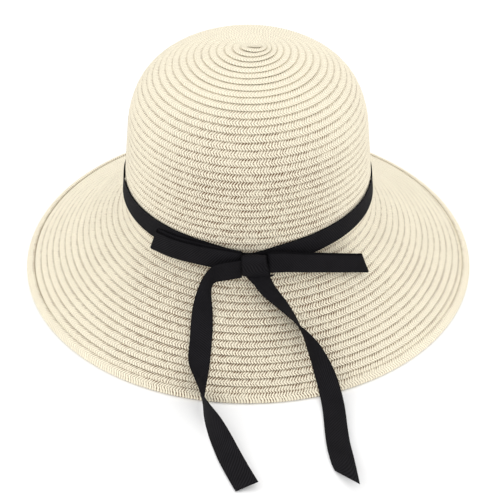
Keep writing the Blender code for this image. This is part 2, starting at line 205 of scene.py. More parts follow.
# How the plait is drawn. Fours are a smooth step: from, to, value before, value after.
WANDER_SCALE = 260.0
WANDER = 0.8                   # in strands
# Painted shade in the grooves between strands, where the Groove colour is mixed in.
GROOVE_STEP = (0.14, 0.72, 1.0, 0.0)      # from a strand's edge to its middle
LANE_STEP = (0.0, 0.6, 0.55, 1.0)
GROOVE_CHANCE = (0.05, 0.75, 0.40, 1.0)   # some crossings are pulled tighter than others and hold more painted shade
FRONT_SHADE_STEP = (-0.045, -0.088, 0.0, 1.0)   # painted shade: darker grooves and lap shadows towards the front, by Y in metres
SIDES_SHADE_STEP = (0.040, 0.120, 1.0, 0.0)     # and less painted shade at the sides, by X in metres
CLOUD_SCALE = 38.0
CLOUD = 0.5
FIBRE_SCALE = (9.0, 16.0, 1.0)
TONE_LOW = 0.84
TONE_CHANCE = 0.12
TONE_FIBRE = 0.14
GROOVE_DEPTH = (0.66, 0.34)    # share of the painted shade that follows the front mask and the cloud, and the least
# Painted shadow under the lap of the row above: a dark toothed line along each row's inner edge.
LAP_SHADOW_DEPTH = (0.40, 0.60)
LAP_SHADOW_TEETH = 3.0               # how far the teeth of the painted lap shadow slant with the strands
LAP_SHADOW_FADE = 0.14
LAP_SHADOW_CHANCE = 0.12
LAP_SHADOW_TOOTH = (0.14, 0.38, 1.0, 0.10)
LAP_SHADOW_PATCH = (0.10, 0.60, 0.35, 1.0)
CREST_SHADE_STEP = (0.095, 0.127, 1.0, 0.35)    # painted lap shadow fainter over the crown's top, by Z in metres
STRAW_ROUGH = (0.3, 0.58)      # share that goes with the fibre, and the least
STRAND_STEP = (0.0, 0.6)
# How far up a row the painted lap shadow reaches, on flat and upright straw, and its depth on the
# folded rim.
LAP_SHADOW_REACH = 0.36
LAP_SHADOW_REACH_UPRIGHT = 0.43
RIM_LAP_SHADOW_DEPTH = 0.8

# How woven cloth is drawn.
# Painted highlight on the twill ridges, varied in clouds and stronger on slubs.
GLINT_CLOUD_SCALE = 90.0
GLINT_LEAST = 0.35
SLUB_SCALE = (900.0, 2600.0, 1.0)
SLUB_GLINT = 0.35
SLUB_HEIGHT = 0.6
WEFT_HEIGHT = 0.5
SELVEDGE_STEP = (0.0004, 0.0011, 1.0, 0.0)
SELVEDGE_DARK = 0.6
CLOTH_ROUGH = 0.62
SLUB_ROUGH = 0.25

# The stage.
CAMERA_AIM = (0.0014, 0.0, -0.0558)
SENSOR = 36.0
STUDIO_LIGHT = 1.04
FLOOR_HALF = 4.0
FLOOR_ROUGH = 0.8
FLOOR_CLOUD = 3.0
FLOOR_DIM = 0.985
LIGHT_AIM = (0.0, 0.0, 0.0)
SOFTBOXES = (                  # name, place, diameter, watts
    ("left_softbox", (-1.6, -0.2, 1.3), 1.2, 3.2),
    ("right_softbox", (1.6, 0.1, 1.3), 1.2, 3.0),
    ("top_softbox", (0.0, 0.5, 2.0), 1.6, 3.0),
    ("front_softbox", (0.0, -1.7, 1.5), 1.4, 5.0),
)


# ---------------------------------------------------------------- the hat's outline


def hat_curve(step=CURVE_STEP):
    """Distances along the outline, with the radius and height at each."""
    middles = np.arange(step / 2, HAT_EDGE + CURVE_OVER, step)
    slopes = np.radians(np.interp(middles / MM, *zip(*HAT_SLOPES)))
    distances = np.concatenate(([0.0], middles + step / 2))
    radii = np.concatenate(([0.0], np.cumsum(step * np.cos(slopes))))
    heights = CROWN_TOP - np.concatenate(([0.0], np.cumsum(step * np.sin(slopes))))
    return distances, radii, heights


CURVE = hat_curve()


def on_hat(distance, lift):
    """Radius and height at distances along the outline, lifted off the straw's surface."""
    slope = np.radians(np.interp(np.asarray(distance) / MM, *zip(*HAT_SLOPES)))
    radius = np.interp(distance, CURVE[0], CURVE[1]) + lift * np.sin(slope)
    height = np.interp(distance, CURVE[0], CURVE[2]) + lift * np.cos(slope)
    return radius, height


def ground(x, y):
    """Height of the brim, the rim or the table under a point outside the crown."""
    radius = math.hypot(x, y)
    edge = float(np.interp(HAT_EDGE, CURVE[0], CURVE[1]))
    if radius > edge + EDGE_ROUND:
        return TABLE
    brim = CURVE[0] >= HAT_LINE
    height = float(np.interp(radius, CURVE[1][brim], CURVE[2][brim]))
    rim_start = float(np.interp(ROWS_END, CURVE[0], CURVE[1]))
    return height + (RIM_PROUD if radius > rim_start - RIM_LAP else 0.0)


def waves(table, angle):
    """The sum of a few sine waves, given as (size, count, start)."""
    return sum(size * np.sin(count * angle + start) for size, count, start in table)


# ---------------------------------------------------------------- settings


class StrawSettings(bpy.types.PropertyGroup):
    row: bpy.props.FloatProperty(
        name="Row", description="Visible width of one row of braid",
        default=5.65 * MM, min=0.002, precision=5, unit="LENGTH",
    )
    width: bpy.props.FloatProperty(
        name="Braid Width", description="Full width of the braid, with the hidden lap",
        default=7.0 * MM, min=0.002, precision=5, unit="LENGTH",
    )
    thick: bpy.props.FloatProperty(
        name="Braid Thickness", description="Thickness of one layer of braid",
        default=0.7 * MM, min=0.0001, precision=5, unit="LENGTH",
    )
    lap: bpy.props.FloatProperty(
        name="Lap", description="How much higher the outer edge of a row lies than its inner edge",
        default=1.0 * MM, min=0.0, precision=5, unit="LENGTH",
    )
    strand: bpy.props.FloatProperty(
        name="Strand", description="Distance between two strands along the braid",
        default=2.1 * MM, min=0.001, precision=5, unit="LENGTH",
    )
    relief: bpy.props.FloatProperty(
        name="Relief", description="Depth of the grooves between strands",
        default=0.22 * MM, min=0.0, precision=5, unit="LENGTH",
    )
    scallop: bpy.props.FloatProperty(
        name="Scallop", description="How far the outer edge steps in between strands",
        default=0.8 * MM, min=0.0, precision=5, unit="LENGTH",
    )
    colour: bpy.props.FloatVectorProperty(
        name="Straw", description="Colour of a strand", subtype="COLOR",
        size=4, min=0.0, max=1.0, default=(0.985, 0.91, 0.72, 1.0),
    )
    # Painted shade: the colour of the shadow deep between the strands.
    groove_shade: bpy.props.FloatVectorProperty(
        name="Groove", description="Colour deep between the strands", subtype="COLOR",
        size=4, min=0.0, max=1.0, default=(0.135, 0.058, 0.017, 1.0),
    )


class RibbonSettings(bpy.types.PropertyGroup):
    width: bpy.props.FloatProperty(
        name="Width", description="Width of the ribbon",
        default=16.0 * MM, min=0.003, precision=5, unit="LENGTH",
    )
    cloth: bpy.props.FloatProperty(
        name="Cloth", description="Thickness of the ribbon",
        default=0.5 * MM, min=0.0001, precision=5, unit="LENGTH",
    )
    colour: bpy.props.FloatVectorProperty(
        name="Thread", description="Colour of the ribbon's thread", subtype="COLOR",
        size=4, min=0.0, max=1.0, default=(0.0016, 0.0015, 0.0019, 1.0),
    )
    # Painted highlight: the ridge colour stands in for light on the black twill.
    glint: bpy.props.FloatVectorProperty(
        name="Ridge", description="Colour on top of the twill ridges", subtype="COLOR",
        size=4, min=0.0, max=1.0, default=(0.0165, 0.0155, 0.0180, 1.0),
    )


class LiningSettings(bpy.types.PropertyGroup):
    wide: bpy.props.FloatProperty(
        name="Sweatband", description="Width of the sweatband",
        default=30.0 * MM, min=0.005, precision=5, unit="LENGTH",
    )
    tape: bpy.props.FloatProperty(
        name="Tape", description="Thickness of the sweatband",
        default=0.8 * MM, min=0.0002, precision=5, unit="LENGTH",
    )
    stitches: bpy.props.IntProperty(
        name="Stitches", description="Stitches round the sweatband", default=120, min=12,
    )
    colour: bpy.props.FloatVectorProperty(
        name="Tape Colour", description="Colour of the sweatband", subtype="COLOR",
        size=4, min=0.0, max=1.0, default=(0.62, 0.53, 0.39, 1.0),
    )
    label: bpy.props.FloatVectorProperty(
        name="Label", description="Colour of the blank size label", subtype="COLOR",
        size=4, min=0.0, max=1.0, default=(0.82, 0.81, 0.77, 1.0),
    )


class StageSettings(bpy.types.PropertyGroup):
    distance: bpy.props.FloatProperty(
        name="Camera Distance", description="From the camera to the point it looks at",
        default=1.2, min=0.3, unit="LENGTH",
    )
    elevation: bpy.props.FloatProperty(
        name="Elevation", description="Height of the camera above the horizon",
        default=math.radians(37.6), subtype="ANGLE",
    )
    lens: bpy.props.FloatProperty(
        name="Lens", description="Focal length in millimetres on a 36 mm sensor",
        default=109.5, min=10.0,
    )
    floor: bpy.props.FloatVectorProperty(
        name="Floor", description="Colour of the floor", subtype="COLOR",
        size=4, min=0.0, max=1.0, default=(0.97, 0.97, 0.97, 1.0),
    )


# ---------------------------------------------------------------- shader nodes


def add(tree, kind, **values):
    """A new node with the given settings; keys that name an input set its value."""
    node = tree.nodes.new(kind)
    for key, value in values.items():
        if hasattr(node, key):
            setattr(node, key, value)
        else:
            node.inputs[key.replace("_", " ")].default_value = value
    return node


def feed(tree, socket, value):
    """Link a socket into an input, or set the input to a number or colour."""
    if isinstance(value, bpy.types.NodeSocket):
        tree.links.new(value, socket)
    else:
        socket.default_value = value


def calc(tree, operation, *values, clamp=False):
    node = add(tree, "ShaderNodeMath", operation=operation, use_clamp=clamp)
    for socket, value in zip(node.inputs, values):
        feed(tree, socket, value)
    return node.outputs[0]


def ramp(tree, value, low, high, start=0.0, end=1.0):
    """Smoothly from start to end as the value goes from low to high."""
    node = add(tree, "ShaderNodeMapRange", interpolation_type="SMOOTHSTEP")
    for socket, number in zip(node.inputs, (value, low, high, start, end)):
        feed(tree, socket, number)
    return node.outputs[0]


def mix(tree, factor, first, second, blend="MIX"):
    node = add(tree, "ShaderNodeMix", data_type="RGBA", blend_type=blend)
    for socket, value in zip((node.inputs[0], node.inputs[6], node.inputs[7]),
                             (factor, first, second)):
        feed(tree, socket, value)
    return node.outputs[2]


def noise(tree, vector, scale, detail=2.0, rough=0.5):
    node = add(tree, "ShaderNodeTexNoise", Scale=scale, Detail=detail, Roughness=rough)
    tree.links.new(vector, node.inputs["Vector"])
    return node.outputs[0]


def scaled(tree, vector, factors):
    node = add(tree, "ShaderNodeVectorMath", operation="MULTIPLY")
    tree.links.new(vector, node.inputs[0])
    node.inputs[1].default_value = factors
    return node.outputs[0]


def off_half(tree, value):
    """How far the fraction of a number lies from one half."""
    return calc(tree, "ABSOLUTE", calc(tree, "SUBTRACT", calc(tree, "FRACT", value), 0.5))


def tent(tree, value):
    """0 at whole numbers and 1 halfway between two of them, straight in between."""
    return calc(tree, "MULTIPLY_ADD", off_half(tree, value), -2.0, 1.0)


def new_group(name, inputs, outputs):
    """An empty node group with its sockets, its input node and its output node."""
    group = bpy.data.node_groups.new(name, "ShaderNodeTree")
    for label, kind, value in inputs:
        socket = group.interface.new_socket(label, in_out="INPUT", socket_type=kind)
        if value is not None:
            socket.default_value = value
    for label, kind in outputs:
        group.interface.new_socket(label, in_out="OUTPUT", socket_type=kind)
    return group, group.nodes.new("NodeGroupInput"), group.nodes.new("NodeGroupOutput")


def plait_group():
    """Straw plait: strands that turn back at a fold, painted shade in the grooves between them,
    and a painted shadow under a lap.
    """
    group = bpy.data.node_groups.get("Straw Plait")
    if group:
        return group
    group, given, made = new_group(
        "Straw Plait",
        [
            ("UV", "NodeSocketVector", None), ("Place", "NodeSocketVector", None),
            ("Straw", "NodeSocketColor", (0.8, 0.7, 0.6, 1.0)),
            ("Groove", "NodeSocketColor", (0.3, 0.2, 0.1, 1.0)),
            ("Lap Shadow Depth", "NodeSocketFloat", 1.0), ("Lap Shadow Reach", "NodeSocketFloat", 0.3),
        ],
        [("Color", "NodeSocketColor"), ("Roughness", "NodeSocketFloat"),
         ("Height", "NodeSocketFloat")],
    )
    uv = add(group, "ShaderNodeSeparateXYZ")
    group.links.new(given.outputs["UV"], uv.inputs[0])
    along, across = uv.outputs[0], uv.outputs[1]
    place = add(group, "ShaderNodeSeparateXYZ")
    group.links.new(given.outputs["Place"], place.inputs[0])
    wander = noise(group, given.outputs["Place"], WANDER_SCALE, 1.0)
    wander = calc(group, "SUBTRACT", wander, 0.5)
    turned = calc(group, "ABSOLUTE", calc(group, "SUBTRACT", across, FOLD))
    strand = calc(group, "MULTIPLY_ADD", turned, -SLANT, along)
    strand = calc(group, "MULTIPLY_ADD", wander, WANDER, strand)
    width = tent(group, strand)
    lane = calc(group, "MULTIPLY", across, LANES)
    arch = tent(group, lane)
    cell = add(group, "ShaderNodeCombineXYZ")
    for socket, value in zip(cell.inputs, (strand, lane)):
        group.links.new(calc(group, "FLOOR", value), socket)
    lot = add(group, "ShaderNodeTexWhiteNoise", noise_dimensions="2D")
    group.links.new(cell.outputs[0], lot.inputs["Vector"])
    chance = lot.outputs["Value"]
    # Painted shade in the grooves, where the strands part.
    gap = calc(group, "MULTIPLY", ramp(group, width, *GROOVE_STEP),
               ramp(group, arch, *LANE_STEP))
    dark = calc(group, "MULTIPLY", gap, ramp(group, chance, *GROOVE_CHANCE))
    # Painted shade: the grooves and lap shadows are darker on the front and less so at the sides,
    # varied by a cloud.
    sides = ramp(group, calc(group, "ABSOLUTE", place.outputs[0]), *SIDES_SHADE_STEP)
    front = calc(group, "MULTIPLY", ramp(group, place.outputs[1], *FRONT_SHADE_STEP), sides)
    cloud = noise(group, given.outputs["Place"], CLOUD_SCALE, 3.0)
    painted_shade_amount = calc(group, "ADD", front, calc(group, "MULTIPLY_ADD", cloud, CLOUD, -CLOUD / 2))
    fibre = noise(group, scaled(group, given.outputs["UV"], FIBRE_SCALE), 1.0, 2.0)
    tone = calc(group, "MULTIPLY_ADD", chance, TONE_CHANCE, TONE_LOW)
    tone = calc(group, "MULTIPLY_ADD", fibre, TONE_FIBRE, tone)
    shade = add(group, "ShaderNodeCombineXYZ")
    for socket in shade.inputs:
        group.links.new(tone, socket)
    colour = mix(group, 1.0, given.outputs["Straw"], shade.outputs[0], "MULTIPLY")
    depth = calc(group, "MULTIPLY_ADD", painted_shade_amount, *GROOVE_DEPTH, clamp=True)
    colour = mix(group, calc(group, "MULTIPLY", dark, depth), colour, given.outputs["Groove"])
    # Painted shadow under the lap of the row above, in teeth where its strands turn.
    notch = off_half(group, calc(group, "MULTIPLY_ADD", across, LAP_SHADOW_TEETH, along))
    reach = calc(group, "MULTIPLY_ADD", chance, LAP_SHADOW_CHANCE, given.outputs["Lap Shadow Reach"])
    lap_shadow = ramp(group, across, calc(group, "SUBTRACT", reach, LAP_SHADOW_FADE), reach, 1.0, 0.0)
    lap_shadow = calc(group, "MULTIPLY", lap_shadow, ramp(group, notch, *LAP_SHADOW_TOOTH))
    lap_shadow = calc(group, "MULTIPLY", lap_shadow, ramp(group, chance, *LAP_SHADOW_PATCH))
    # The painted lap shadow fades over the crown's top.
    lap_shadow = calc(group, "MULTIPLY", lap_shadow, ramp(group, place.outputs[2], *CREST_SHADE_STEP))
    depth = calc(group, "MULTIPLY", calc(group, "MULTIPLY_ADD", painted_shade_amount, *LAP_SHADOW_DEPTH, clamp=True),
                 given.outputs["Lap Shadow Depth"])
    colour = mix(group, calc(group, "MULTIPLY", lap_shadow, depth), colour, given.outputs["Groove"])
    group.links.new(colour, made.inputs["Color"])
    group.links.new(calc(group, "MULTIPLY_ADD", fibre, *STRAW_ROUGH), made.inputs["Roughness"])
    height = calc(group, "MULTIPLY", ramp(group, width, *STRAND_STEP),
                  calc(group, "MULTIPLY_ADD", arch, 0.5, 0.5))
    height = calc(group, "MULTIPLY_ADD", fibre, 0.25, height)
    group.links.new(height, made.inputs["Height"])
    return group


def twill_group():
    """Fine cloth: twill ridges at a slant to the threads with a painted highlight on them that
    varies in clouds, and a selvedge.
    """
    group = bpy.data.node_groups.get("Twill Cloth")
    if group:
        return group
    group, given, made = new_group(
        "Twill Cloth",
        [
            ("UV", "NodeSocketVector", None), ("Place", "NodeSocketVector", None),
            ("Thread", "NodeSocketColor", (0.1, 0.1, 0.1, 1.0)),
            ("Ridge", "NodeSocketColor", (0.2, 0.2, 0.2, 1.0)),
            ("Ridges", "NodeSocketFloat", 1700.0), ("Slant", "NodeSocketFloat", 1.0),
            ("Width", "NodeSocketFloat", 0.016),
        ],
        [("Color", "NodeSocketColor"), ("Roughness", "NodeSocketFloat"),
         ("Height", "NodeSocketFloat")],
    )
    uv = add(group, "ShaderNodeSeparateXYZ")
    group.links.new(given.outputs["UV"], uv.inputs[0])
    along, across = uv.outputs[0], uv.outputs[1]
    slanted = calc(group, "ADD", along, calc(group, "MULTIPLY", across, given.outputs["Slant"]))
    ridge = tent(group, calc(group, "MULTIPLY", slanted, given.outputs["Ridges"]))
    weft = off_half(group, calc(group, "MULTIPLY", along, given.outputs["Ridges"]))
    cloud = noise(group, given.outputs["Place"], GLINT_CLOUD_SCALE, 3.0)
    slub = noise(group, scaled(group, given.outputs["UV"], SLUB_SCALE), 1.0, 2.0)
    # Painted highlight: the ridges take the Ridge colour, in clouds and on slubs.
    amount = calc(group, "MULTIPLY", ridge, calc(group, "ADD", GLINT_LEAST, cloud))
    amount = calc(group, "ADD", amount, calc(group, "MULTIPLY", slub, SLUB_GLINT), clamp=True)
    colour = mix(group, amount, given.outputs["Thread"], given.outputs["Ridge"])
    half = calc(group, "MULTIPLY", given.outputs["Width"], 0.5)
    edge = calc(group, "ABSOLUTE", calc(group, "SUBTRACT", across, half))
    selvedge = ramp(group, calc(group, "SUBTRACT", half, edge), *SELVEDGE_STEP)
    colour = mix(group, calc(group, "MULTIPLY", selvedge, SELVEDGE_DARK), colour,
                 given.outputs["Thread"])
    group.links.new(colour, made.inputs["Color"])
    rough = calc(group, "ADD", CLOTH_ROUGH, calc(group, "MULTIPLY", slub, SLUB_ROUGH))
    group.links.new(rough, made.inputs["Roughness"])
    height = calc(group, "ADD", ridge, calc(group, "MULTIPLY", weft, WEFT_HEIGHT))
    height = calc(group, "ADD", height, calc(group, "MULTIPLY", slub, SLUB_HEIGHT))
    group.links.new(calc(group, "ADD", height, selvedge), made.inputs["Height"])
    return group


def surface(name, group, values, bump, specular, sheen=0.0):
    """A material whose colour, roughness and relief come from a group that reads the UV map."""
    material = bpy.data.materials.get(name)
    if material:
        return material
    material = bpy.data.materials.new(name)
    material.use_nodes = True
    tree = material.node_tree
    shader = tree.nodes["Principled BSDF"]
    shader.inputs["Specular IOR Level"].default_value = specular
    shader.inputs["Sheen Weight"].default_value = sheen
    shader.inputs["Sheen Roughness"].default_value = 0.5
    pattern = add(tree, "ShaderNodeGroup", node_tree=group)
    place = add(tree, "ShaderNodeTexCoord")
    tree.links.new(add(tree, "ShaderNodeUVMap", uv_map="UVMap").outputs[0], pattern.inputs["UV"])
    tree.links.new(place.outputs["Object"], pattern.inputs["Place"])
    for key, value in values.items():
        pattern.inputs[key].default_value = value
    relief = add(tree, "ShaderNodeBump", Strength=bump[0], Distance=bump[1])
    tree.links.new(pattern.outputs["Height"], relief.inputs["Height"])
    tree.links.new(relief.outputs[0], shader.inputs["Normal"])
    tree.links.new(pattern.outputs["Color"], shader.inputs["Base Color"])
    tree.links.new(pattern.outputs["Roughness"], shader.inputs["Roughness"])
    return material


def straw_material(name, lap_shadow_reach, lap_shadow_depth=1.0):
    """Straw, with the shadow of a lap reaching further down where the wall is upright."""
    straw = bpy.context.scene.hat_straw
    return surface(name, plait_group(),
                   {"Straw": straw.colour, "Groove": straw.groove_shade, "Lap Shadow Reach": lap_shadow_reach,
                    "Lap Shadow Depth": lap_shadow_depth}, bump=(0.8, 0.5 * MM), specular=0.25)


def ribbon_material():
    ribbon = bpy.context.scene.hat_ribbon
    return surface("twill_ribbon", twill_group(),
                   {"Thread": ribbon.colour, "Ridge": ribbon.glint, "Ridges": 560.0,
                    "Slant": 0.9, "Width": ribbon.width}, bump=(0.8, 0.2 * MM), specular=0.05)


def tape_material():
    lining = bpy.context.scene.hat_lining
    # Painted highlight: the tape's ridges take a paler copy of its colour.
    pale = [min(1.0, value * 1.25) for value in lining.colour]
    return surface("sweatband_tape", twill_group(),
                   {"Thread": lining.colour, "Ridge": pale, "Ridges": 900.0,
                    "Slant": 0.0, "Width": lining.wide},
                   bump=(0.6, 0.15 * MM), specular=0.25, sheen=0.1)


def label_material():
    lining = bpy.context.scene.hat_lining
    # Painted highlight: the label's ridges take its colour, and the threads between them a dimmer
    # copy.
    dim = [value * 0.85 for value in lining.label[:3]] + [1.0]
    return surface("label_satin", twill_group(),
                   {"Thread": dim, "Ridge": lining.label, "Ridges": 2600.0,
                    "Slant": 0.3, "Width": LABEL_WIDE}, bump=(0.3, 0.05 * MM), specular=0.45)


# ---------------------------------------------------------------- meshes


def finish_piece(name, bm, material, body, node):
    """Turn a bmesh into a piece that rides on a body and stands for a CAD node."""
    mesh = bpy.data.meshes.new(name)
    bm.to_mesh(mesh)
    bm.free()
    mesh.shade_smooth()
    mesh.materials.append(material)
    piece = bpy.data.objects.new(name, mesh)
    bpy.context.scene.collection.objects.link(piece)
    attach(piece, body)
    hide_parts(node)
    return piece


def thicken(piece, thickness):
    """Give a thin sheet its thickness, half on each side."""
    shell = piece.modifiers.new("cloth", "SOLIDIFY")
    shell.thickness = thickness
    shell.offset = 0.0


def bent_grid(points, scale, across, closed_along=False, closed_across=False):
    """A grid bent onto points[across][along], with its UV map in the pattern's own units."""
    rows, columns = points.shape[0], points.shape[1]
    bm = bmesh.new()
    uv = bm.loops.layers.uv.new("UVMap")
    bmesh.ops.create_grid(bm, x_segments=columns - 1, y_segments=rows - 1, size=1.0)
    bm.verts.index_update()
    for face in bm.faces:
        for loop in face.loops:
            row, column = divmod(loop.vert.index, columns)
            loop[uv].uv = (scale * column / (columns - 1), across[row])
    for vert, point in zip(bm.verts, points.reshape(-1, 3)):
        vert.co = point
    if closed_along or closed_across:
        bmesh.ops.remove_doubles(bm, verts=bm.verts, dist=0.002 * MM)
    if closed_across and not closed_along:
        rims = [edge for edge in bm.edges if edge.is_boundary]
        bmesh.ops.holes_fill(bm, edges=rims, sides=2 * rows)
    bmesh.ops.recalc_face_normals(bm, faces=bm.faces)
    return bm


def spiral(start, end):
    """Distances of the braid's outer edge along the outline, one for each mesh column."""
    straw = bpy.context.scene.hat_straw
    step = straw.strand / SAMPLES
    at = start
    distances = []
    while at < end:
        distances.append(at)
        radius = float(np.interp(at - straw.width / 2, CURVE[0], CURVE[1]))
        radius += 2 * SLIT_HALF * math.exp(-((at / SLIT_FADE) ** 2))
        at += straw.row * step / (math.tau * max(radius, SLIT_HALF))
    return np.array(distances)


def braid_points(distances, first):
    """The braid's cross-section carried along the spiral."""
    straw = bpy.context.scene.hat_straw
    count = np.arange(len(distances)) + first
    ahead = CROWN_AHEAD * np.interp(distances, (LAP_FROM, LAP_TO), (1.0, 0.0))
    angle = math.tau * ((distances - ROWS_END) / straw.row + ahead) - math.pi / 2
    sway = waves(BRAID_SWAY, angle)
    lines = []
    for share, side, relief in BRAID_SECTION + BRAID_SECTION[:1]:
        strand = count / SAMPLES - SLANT * abs(share - FOLD)
        ridge = np.abs(np.sin(math.pi * strand))
        at = distances + (share - 1.0) * straw.width + sway
        if share == 1.0:
            at = at - straw.scallop * (1.0 - ridge)
        at = np.clip(at, MIDDLE_CLEAR, ROWS_END + ROWS_OVER)
        lift = straw.lap * (share - 1.0) + side * straw.thick / 2
        lift = lift + math.copysign(1.0, side) * relief * straw.relief * (ridge - RIDGE_LEVEL)
        radius, height = on_hat(at, lift)
        fade = np.exp(-((at / SLIT_FADE) ** 2))
        lines.append(np.stack((
            np.cos(angle) * (radius + SLIT_HALF * fade) + SLIT_SHIFT * fade,
            np.sin(angle) * (radius + SLIT_GAP * fade),
            height,
        ), axis=-1))
    return np.stack(lines)


def make_braid(name, start, end, node, material):
    """One stretch of the long braid, as a closed strip."""
    before = len(spiral(BRAID_START, start)) if start else 0
    first = max(before - 1, 0)
    distances = spiral(BRAID_START, end)[first:]
    across = [row[0] for row in BRAID_SECTION + BRAID_SECTION[:1]]
    scale = (len(distances) - 1) / SAMPLES
    bm = bent_grid(braid_points(distances, first), scale, across, closed_across=True)
    return finish_piece(name, bm, material, "hat", node)


def make_rim(name):
    """The last row, folded double: a closed ring of the same plait."""
    straw = bpy.context.scene.hat_straw
    edge = float(np.interp(HAT_EDGE, CURVE[0], CURVE[1]))
    strands = round(math.tau * edge / straw.strand)
    count = np.arange(strands * SAMPLES + 1)
    angle = math.tau * count / (strands * SAMPLES)
    lines = []
    for inset, lift, share in RIM_SECTION + RIM_SECTION[:1]:
        strand = count / SAMPLES - SLANT * abs(share - FOLD)
        ridge = np.abs(np.sin(math.pi * strand))
        bulge = straw.relief * (ridge - RIDGE_LEVEL) * math.copysign(1.0, lift + RIM_TURN)
        radius, height = on_hat(HAT_EDGE + inset * MM, lift * MM + bulge)
        height = np.maximum(height, TABLE)
        lines.append(np.stack((np.cos(angle) * radius, np.sin(angle) * radius, height), axis=-1))
    across = [row[2] for row in RIM_SECTION + RIM_SECTION[:1]]
    bm = bent_grid(np.stack(lines), strands, across, closed_along=True, closed_across=True)
    material = straw_material("folded_straw", LAP_SHADOW_REACH, RIM_LAP_SHADOW_DEPTH)
    return finish_piece(name, bm, material, "hat", "brim_edge")


# ---------------------------------------------------------------- ribbon


def spline(stations, steps):
    """A smooth curve through the stations, with the given samples between two of them."""
    points = [np.array(station, float) for station in stations]
    points = [2 * points[0] - points[1]] + points + [2 * points[-1] - points[-2]]
    samples = []
    for before, start, end, after in zip(points, points[1:], points[2:], points[3:]):
        for step in range(steps):
            t = step / steps
            samples.append(0.5 * (
                2 * start + (end - before) * t
                + (2 * before - 5 * start + 4 * end - after) * t * t
                + (3 * start - before - 3 * end + after) * t ** 3
            ))
    samples.append(points[-2])
    return samples


def run_length(points):
    """Length along the middle line of points[across][along]."""
    line = points[points.shape[0] // 2]
    return float(np.linalg.norm(np.diff(line, axis=0), axis=1).sum())


def ribbon_piece(name, sections, body, node, closed=False):
    """A strip of ribbon through its cross-sections, thickened."""
    ribbon = bpy.context.scene.hat_ribbon
    points = np.stack([np.array(section, float) for section in sections], axis=1)
    length = run_length(points)
    across = [ribbon.width * i / (points.shape[0] - 1) for i in range(points.shape[0])]
    bm = bent_grid(points, length, across, closed_along=closed)
    piece = finish_piece(name, bm, ribbon_material(), body, node)
    thicken(piece, ribbon.cloth)


def make_band():
    """The ribbon round the crown, pulled down by the bow in front."""
    ribbon = bpy.context.scene.hat_ribbon
    sections = []
    for step in range(ROUND_STEPS + 1):
        front = math.tau * step / ROUND_STEPS
        wrapped = math.remainder(front, math.tau)
        middle = BAND_HEIGHT - BAND_DROOP * math.exp(-((wrapped / DROOP_ANGLE) ** 2))
        radius = BAND_RADIUS + waves(BAND_LOOSE, front) * BAND_LOOSE_OUT
        section = []
        for share in SHARES:
            out = radius - share * ribbon.width / 2 * math.sin(BAND_LEAN)
            height = middle + share * ribbon.width / 2 * math.cos(BAND_LEAN)
            height -= BAND_PINCH * max(0.0, share) * math.exp(-((wrapped / PINCH_ANGLE) ** 2))
            section.append((out * math.sin(front), -out * math.cos(front), height))
        sections.append(section)
    ribbon_piece("ribbon_band_cloth", sections, "ribbon", "ribbon_band",
                 closed=True)


def make_loop(name, stations, body, node, drop, slant):
    """A bow loop: out along the back layer, round the end and back along the front layer."""
    ribbon = bpy.context.scene.hat_ribbon
    middle = [point * MM for point in spline(stations, LOOP_STEPS)]
    normals = []
    for index in range(len(middle)):
        ahead = middle[min(index + 1, len(middle) - 1)] - middle[max(index - 1, 0)]
        normal = np.array((ahead[1], -ahead[0], 0.0))
        normal /= np.linalg.norm(normal)
        normals.append(normal if normal[1] < 0 else -normal)
    last = len(middle) - 1
    ease = [math.sin(math.pi / 2 * index / last) for index in range(len(middle))]
    path = [(middle[i], normals[i], -LOOP_GAP / 2, 0.0, ease[i]) for i in range(len(middle))]
    along = middle[-1] - middle[-2]
    along[2] = 0.0
    along /= np.linalg.norm(along)
    for step in range(1, LOOP_TURN_STEPS):
        turn = math.pi * step / LOOP_TURN_STEPS
        centre = middle[-1] + along * LOOP_GAP / 2 * math.sin(turn)
        low = drop * step / LOOP_TURN_STEPS
        path.append((centre, normals[-1], -LOOP_GAP / 2 * math.cos(turn), low, 1.0))
    path += [
        (middle[i], normals[i], LOOP_GAP / 2, drop * ease[i], ease[i]) for i in range(last, -1, -1)
    ]
    sections = []
    for centre, normal, offset, low, share_out in path:
        up = np.array((0, 0, 1)) * math.cos(LOOP_LEAN) - normal * math.sin(LOOP_LEAN)
        place = centre + normal * offset - np.array((0, 0, low))
        lean = along * slant * share_out
        sections.append([
            place + (up * ribbon.width - lean) * share / 2 for share in SHARES[::-1]
        ])
    ribbon_piece(name, sections, body, node)


def make_tail(name, stations, cut, body, node):
    """A ribbon tail that rests on the brim and the table, rolled about its length."""
    ribbon = bpy.context.scene.hat_ribbon
    samples = spline(stations, TAIL_STEPS)
    places = [np.array((x, y, 0.0)) * MM for x, y, lift, roll in samples]
    last = len(places) - 1
    heads, rests = [], []
    for index, (x, y, lift, roll) in enumerate(samples):
        along = places[min(index + 1, last)] - places[max(index - 1, 0)]
        along /= np.linalg.norm(along)
        side = np.array((along[1], -along[0], 0.0))
        turn = math.radians(roll)
        across = side * math.cos(turn) + np.array((0, 0, math.sin(turn)))
        shift = cut[0] * max(0.0, 1.0 - index / TAIL_STEPS)
        shift += cut[1] * max(0.0, 1.0 - (last - index) / TAIL_STEPS)
        heads.append((across, along * shift))
        need = -math.inf
        for share in SHARES:
            offset = across * share * ribbon.width / 2
            under = ground(places[index][0] + offset[0], places[index][1] + offset[1])
            need = max(need, under - offset[2])
        rests.append(need + TAIL_CLEAR + lift * MM)
    heights = list(rests)
    for _ in range(TAIL_PASSES):
        for index in range(1, last):
            mean = (heights[index - 1] + heights[index + 1]) / 2
            heights[index] = max(rests[index], mean)
    sections = []
    for place, height, (across, shift) in zip(places, heights, heads):
        centre = place + np.array((0, 0, height))
        sections.append([
            centre + across * share * ribbon.width / 2 - shift * share for share in SHARES
        ])
    ribbon_piece(name, sections, body, node)


